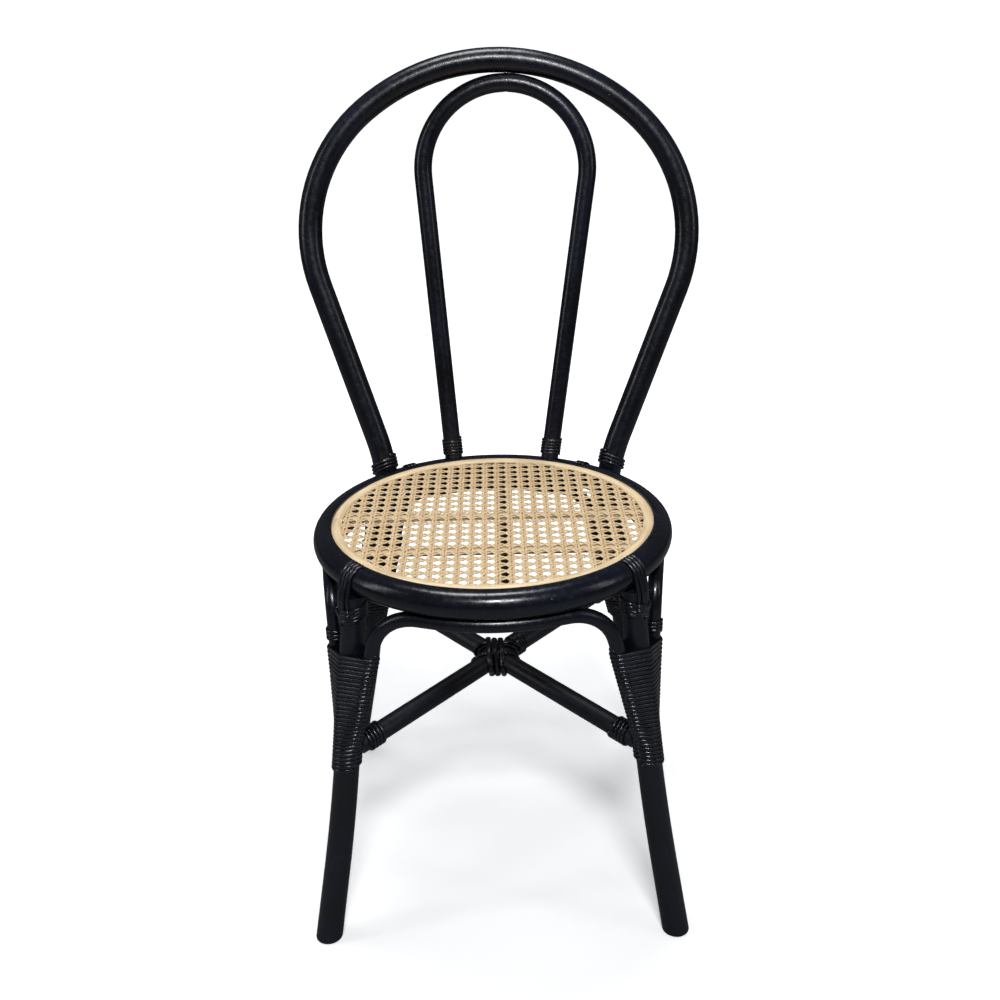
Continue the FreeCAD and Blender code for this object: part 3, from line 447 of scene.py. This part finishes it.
def pair_strands(upright):
    """Both strands of every pair one way; upright pairs run from front to back."""
    meshes = []
    gap_across = pair_gap / (hole_step_x if upright else hole_step_y)
    gap_along = pair_gap / (hole_step_y if upright else hole_step_x)
    for number in range(-reach, reach):
        for member in (-1, 1):
            line = number + 0.5 + member * gap_across
            places = []
            for cell in range(-reach, reach):
                side = member * (1 if upright else -1)
                steps = ((cell, 0), (cell + 0.5 - gap_along, side), (cell + 0.5, 0), (cell + 0.5 + gap_along, -side))
                for step, rise in steps:
                    height = rise * pair_rise
                    places.append(on_weave(line, step, height) if upright else on_weave(step, line, height))
            meshes += woven_strand(places, cane_profile, number * 2 + member * 0.5 + (0 if upright else 80))
    return meshes


def diagonal_strands(rising):
    """Single strands over one set of pairs and under the other."""
    meshes = []
    for number in range(-2 * reach, 2 * reach):
        places = []
        for half_step in range(-4 * reach, 4 * reach):
            middle = half_step / 2
            start = number + 0.5
            other = start - middle if rising < 0 else middle - start
            over_upright = abs(middle % 1 - 0.5) < 0.01
            rise = diagonal_rise * (1 if over_upright == (rising > 0) else -1)
            for shift in (-0.11, 0.11):
                places.append(on_weave(middle + shift, other + shift * rising, rise))
        meshes += woven_strand(places, diagonal_profile, number + 0.3 + (200 if rising > 0 else 400))
    return meshes


seat_pairs = piece("woven_seat_pairs", pair_strands(True) + pair_strands(False), cane_paint, "seat_cane",
                   "seat_cane")
seat_diagonals = piece("woven_seat_diagonals", diagonal_strands(1) + diagonal_strands(-1), cane_paint,
                       "seat_cane", "seat_cane")


# Peel on the joints: each turn lies on the hull of the poles inside it
def outline(carriers, middle, across, out, room):
    """The hull of the carriers in the plane of across and out, as points in that plane."""
    found = []
    for step in range(72):
        angle = math.tau * step / 72
        way = across * math.cos(angle) + out * math.sin(angle)
        furthest = 0.0
        for carrier in carriers:
            hit, place, normal, face = carrier.ray_cast(middle + way * room, -way, distance=room)
            if hit:
                furthest = max(furthest, (place - middle).dot(way))
        if furthest > 0:
            found.append(Vector((math.cos(angle), math.sin(angle))) * furthest)
    return [found[index] for index in geometry.convex_hull_2d(found)]


def wound(carriers, start, end, turns, width, across, room=60 * mm, hand=1, tilt=0.0, lift=0.15 * mm,
          thickness=peel_thickness, number=0.0, bump=0.0, bump_step=7.5 * mm):
    """A strand wound round the carriers from start to end, with turns beside each other.

    across is a way square to the line from start to end. With a tilt, the turns stand
    higher on that side. With a bump, the strand swells out once every bump_step across.
    """
    line = end - start
    onward = line.normalized()
    out = onward.cross(across).normalized()
    across = out.cross(onward).normalized()
    slant = math.tan(tilt)
    sections = 2 + int(line.length / (5 * mm))
    hulls = [outline(carriers, start + line * (index / (sections - 1)), across, out, room)
             for index in range(sections)]
    stations = []
    for step in range(int(turns * peel_steps) + 1):
        share = step / (turns * peel_steps)
        angle = math.tau * step / peel_steps * hand
        way = Vector((math.cos(angle), math.sin(angle)))
        slot = share * (sections - 1)
        for again in range(2):
            low = min(int(slot), sections - 2)
            first = max(hulls[low], key=lambda point: point.dot(way))
            second = max(hulls[low + 1], key=lambda point: point.dot(way))
            flat = first.lerp(second, slot - low)
            slot = (share + flat.x * slant / line.length) * (sections - 1)
            slot = min(max(slot, 0), sections - 1)
        swell = bump * (0.5 + 0.5 * math.cos(math.tau * flat.x / bump_step))
        flat += way * (lift + swell)
        rise = flat.x * slant
        normal = across * way.x + out * way.y
        wobble = noise.noise(Vector((step * 0.11, number * 7.1, 2.0))) * 0.22 * mm
        place = start + line * share + across * flat.x + out * flat.y + onward * (rise + wobble)
        stations.append((place, (normal - onward * (slant * 0.5 * way.x)).normalized()))
    return strand(stations, strand_profile(width, thickness), number)


def middle_of(node):
    low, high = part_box(node)
    return (Vector(low) + Vector(high)) / 2


wrap_tilt = {"front": math.radians(11), "rear": 0}
wrap_room = {"front": 1 * mm, "rear": -3.2 * mm}


def leg_wraps():
    """The long wrap of each leg, over the ends of the arches."""
    for name, side in sides.items():
        arch = solids[name + "_arch"]
        for leg, end_arch, place in ((solids["front_leg_" + name], solids["front_arch"], "front"),
                                     (solids["back_hoop"], solids["rear_arch"], "rear")):
            node = place + "_wrap_" + name
            low, high = (Vector(corner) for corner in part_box(node))
            middle = (low + high) / 2
            start = Vector((middle.x + side * 3 * mm, middle.y, low.z + 5 * mm))
            end = Vector((middle.x, middle.y, high.z + wrap_room[place]))
            turns = 29
            raised_side = Vector((-0.6 * side, -0.8, 0)) if place == "front" else Vector((side, 0, 0))
            mesh = wound([leg, arch, end_arch], start, end, turns, (end - start).length / turns * 0.985,
                         raised_side, hand=side, number=1.0 + side, tilt=wrap_tilt[place])
            piece("peel_" + node, [mesh], peel_paint, "black_peel", node)


leg_wraps()


def bound(node, carriers, onward, length, turns, across, **choices):
    """A short binding, centred where the solid winding is."""
    onward = onward.normalized()
    middle = middle_of(node)
    start = middle - onward * (length / 2)
    end = middle + onward * (length / 2)
    width = length / turns * 0.97
    return wound(carriers, start, end, turns, width, across, **choices)


def ring_ties(middle, side):
    """Passes over the top of the ring, on the inner side of the foot of the hoop."""
    ties = []
    hoop_angle = math.atan2(middle.y, middle.x)
    for number in range(3):
        angle = hoop_angle + side * math.radians(5.4 + 1.45 * number)
        outward = Vector((math.cos(angle), math.sin(angle), 0))
        stations = []
        for turn in range(-60, 104, 7):
            way = outward * math.cos(math.radians(turn)) + Vector((0, 0, math.sin(math.radians(turn))))
            place = outward * ring_radius + Vector((0, 0, ring_height)) + way * (ring_pole_radius + 0.2 * mm)
            stations.append((place, way))
        ties.append(strand(stations, strand_profile(4.3 * mm, 2.0 * mm), 50 + number + side))
    return ties


def joint_bindings():
    for name, side in sides.items():
        other = "left" if name == "right" else "right"
        # Inner hoop: a few turns just above the ring
        node = "inner_hoop_binding_" + name
        foot = middle_of(node)
        up_the_pole = Vector((side * 0.108 - 0.008, 0.163, 1))
        mesh = bound(node, [solids["inner_hoop"]], up_the_pole, 19 * mm, 5, Vector((1, 0, 0)), room=16 * mm,
                     hand=side, number=3 + side, thickness=1.9 * mm)
        piece("peel_" + node, [mesh], peel_paint, "black_peel", node)
        # Side arch: a few turns above the wrap of the front leg
        node = "side_arch_binding_" + name
        mesh = bound(node, [solids[name + "_arch"]], Vector((0.02 * side, 0.08, 1)), 13 * mm, 3,
                     Vector((1, 0, 0)), room=14 * mm, hand=side, number=5 + side, thickness=2.0 * mm)
        piece("peel_" + node, [mesh], peel_paint, "black_peel", node)
        # Stretcher: turns at its front end and at its rear end
        front = middle_of("front_stretcher_binding_" + name)
        rear = middle_of("rear_stretcher_binding_" + other)
        along = rear - front
        for node, way in (("front_stretcher_binding_" + name, along), ("rear_stretcher_binding_" + other, -along)):
            mesh = bound(node, [solids["stretcher_" + name]], way, 21 * mm, 4.5, way.cross(Vector((0, 0, 1))),
                         room=16 * mm, hand=side, number=9 + side)
            piece("peel_" + node, [mesh], peel_paint, "black_peel", node)
        # Back hoop: slanting turns where it meets the ring
        node = "hoop_lashing_" + name
        middle = middle_of(node)
        outward = Vector((middle.x, middle.y, 0)).normalized()
        mesh = bound(node, [solids["back_hoop"]], Vector((side * 0.2, 0.12, 1)), 15 * mm, 3.5, outward,
                     room=24 * mm, hand=side, tilt=math.radians(-22), number=13 + side, lift=0.4 * mm)
        piece("peel_" + node, [mesh] + ring_ties(middle, side), peel_paint, "black_peel", node)


joint_bindings()


def saddles():
    """Four passes over the ring at each front leg, and the turns that tie them down."""
    for name, side in sides.items():
        node = "leg_band_" + name
        leg = solids["front_leg_" + name]
        middle = middle_of(node)
        outward = Vector((middle.x, middle.y, 0)).normalized()
        beside = Vector((0, 0, 1)).cross(outward)
        ring_middle = outward * ring_radius + Vector((0, 0, ring_height))
        over = ring_pole_radius + 0.2 * mm
        passes = []
        for number in range(4):
            shift = beside * ((number - 1.5) * 5.1 * mm)
            stations = []
            for angle in range(98, saddle_shoulder, -6):
                way = outward * math.cos(math.radians(angle)) + Vector((0, 0, math.sin(math.radians(angle))))
                stations.append((ring_middle + way * over + shift, way))
            for height in saddle_heights:
                far_side = Vector((middle.x, middle.y, height)) + shift + outward * room_outside
                hit, foot, normal, face = leg.ray_cast(far_side, -outward)
                stations.append((foot + outward * 0.3 * mm, outward))
            passes.append(strand(stations, strand_profile(4.9 * mm, 2.2 * mm), 20 + number + side))
        saddle = piece("peel_ring_saddle_" + name, passes, peel_paint, "black_peel", "ring_saddle_" + name)
        bpy.context.view_layer.update()
        low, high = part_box(node)
        start = Vector((middle.x, middle.y, low[2] + 6.5 * mm))
        end = Vector((middle.x, middle.y, high[2] - 6.5 * mm))
        mesh = wound([leg, saddle], start, end, 4, 4.7 * mm, outward, room=40 * mm, hand=side, number=30 + side,
                     thickness=2.2 * mm, tilt=math.radians(-12))
        piece("peel_" + node, [mesh], peel_paint, "black_peel", node)


saddles()


def crossing_lashing():
    """Turns over the crossing one way, then turns over those the other way."""
    middle = middle_of("centre_lashing_under")
    first = (middle_of("rear_stretcher_binding_left") - middle_of("front_stretcher_binding_right")).normalized()
    second = (middle_of("rear_stretcher_binding_right") - middle_of("front_stretcher_binding_left")).normalized()
    forward = (first + second).normalized()
    sideways = (second - first).normalized()
    bars = [solids["stretcher_right"], solids["stretcher_left"]]
    under = wound(bars, middle - forward * 13 * mm, middle + forward * 13 * mm, 5, 5.0 * mm, sideways,
                  room=45 * mm, number=40, bump=1.4 * mm, bump_step=9 * mm)
    lower = piece("peel_crossing_under", [under], peel_paint, "black_peel", "centre_lashing_under")
    bpy.context.view_layer.update()
    over = wound(bars + [lower], middle - sideways * 11 * mm, middle + sideways * 11 * mm, 3, 6.4 * mm, forward,
                 room=45 * mm, number=41, bump=1.9 * mm, bump_step=7.5 * mm)
    coil = wound([solids["stretcher_left"]], middle + second * 25 * mm, middle + second * 41 * mm, 4, 3.9 * mm,
                 second.cross(Vector((0, 0, 1))), room=16 * mm, number=42)
    piece("peel_crossing_over", [over, coil], peel_paint, "black_peel", "centre_lashing_over")


crossing_lashing()


# Floor, light and camera
def make_floor():
    made = bmesh.new()
    bmesh.ops.create_circle(made, cap_ends=True, segments=64, radius=60)
    mesh = bpy.data.meshes.new("floor")
    made.to_mesh(mesh)
    made.free()
    floor = bpy.data.objects.new("floor", mesh)
    bpy.context.scene.collection.objects.link(floor)
    paint = Paint("pale_floor", roughness=0.9, specular=0.0)
    paint.shader.inputs["Emission Strength"].default_value = 1
    seen = paint.add("ShaderNodeLightPath", {}, output="Is Camera Ray")
    x, y = paint.axis("X"), paint.axis("Y")
    # Painted shade round the chair: the floor glows for camera rays only, fully from 1.3 m out and more weakly
    # nearer the chair's middle, so the floor close to the chair is left darker than the rest.
    far = paint.spread((x * x + y * y) ** 0.5, 0.30, 1.30, 0.36, 1.0)
    paint.feed("Base Color", paint.mix(seen, (0.22, 0.22, 0.23, 1), (0.93, 0.93, 0.93, 1)))
    paint.feed("Emission Color", paint.mix(seen * far, (0, 0, 0, 1), (1, 1, 1, 1)))
    mesh.materials.append(paint.material)


make_floor()


def make_world():
    world = bpy.data.worlds.new("studio")
    bpy.context.scene.world = world
    world.use_nodes = True
    tree = world.node_tree
    background = tree.nodes["Background"]
    background.inputs["Color"].default_value = (0.95, 0.97, 1.0, 1)
    background.inputs["Strength"].default_value = 0.085
    white = tree.nodes.new("ShaderNodeBackground")
    white.inputs["Color"].default_value = (1, 1, 1, 1)
    white.inputs["Strength"].default_value = 1.0
    path = tree.nodes.new("ShaderNodeLightPath")
    mix = tree.nodes.new("ShaderNodeMixShader")
    tree.links.new(path.outputs["Is Camera Ray"], mix.inputs[0])
    tree.links.new(background.outputs[0], mix.inputs[1])
    tree.links.new(white.outputs[0], mix.inputs[2])
    tree.links.new(mix.outputs[0], tree.nodes["World Output"].inputs["Surface"])


make_world()


def lamp(name, place, aim, width, depth, power, colour=(1, 1, 1)):
    light = bpy.data.lights.new(name, "AREA")
    light.shape = "RECTANGLE"
    light.size = width
    light.size_y = depth
    light.energy = power
    light.color = colour
    made = bpy.data.objects.new(name, light)
    made.location = place
    made.rotation_euler = (Vector(aim) - Vector(place)).to_track_quat("-Z", "Y").to_euler()
    bpy.context.scene.collection.objects.link(made)


seat_middle = (0, 0, 0.5)
lamp("key", (0.15, -1.9, 2.4), seat_middle, 0.62, 0.30, 50, (0.96, 0.98, 1.0))
lamp("top", (-0.2, 0.5, 3.1), seat_middle, 1.3, 0.7, 40, (0.96, 0.98, 1.0))
lamp("left", (-2.6, -0.6, 1.6), seat_middle, 0.3, 1.8, 9, (0.93, 0.96, 1.0))
lamp("right", (2.6, -0.9, 1.7), seat_middle, 0.3, 1.6, 6, (0.93, 0.96, 1.0))

camera_data = bpy.data.cameras.new("camera")
camera_data.sensor_width = 36
camera_data.lens = 43.2
camera = bpy.data.objects.new("camera", camera_data)
camera.location = (0.01768, -1.23238, 0.99774)
camera.rotation_euler = (math.radians(66.9151), math.radians(1.3716), math.radians(-0.1806))
bpy.context.scene.collection.objects.link(camera)
bpy.context.scene.camera = camera
bpy.context.scene.view_settings.view_transform = "Standard"
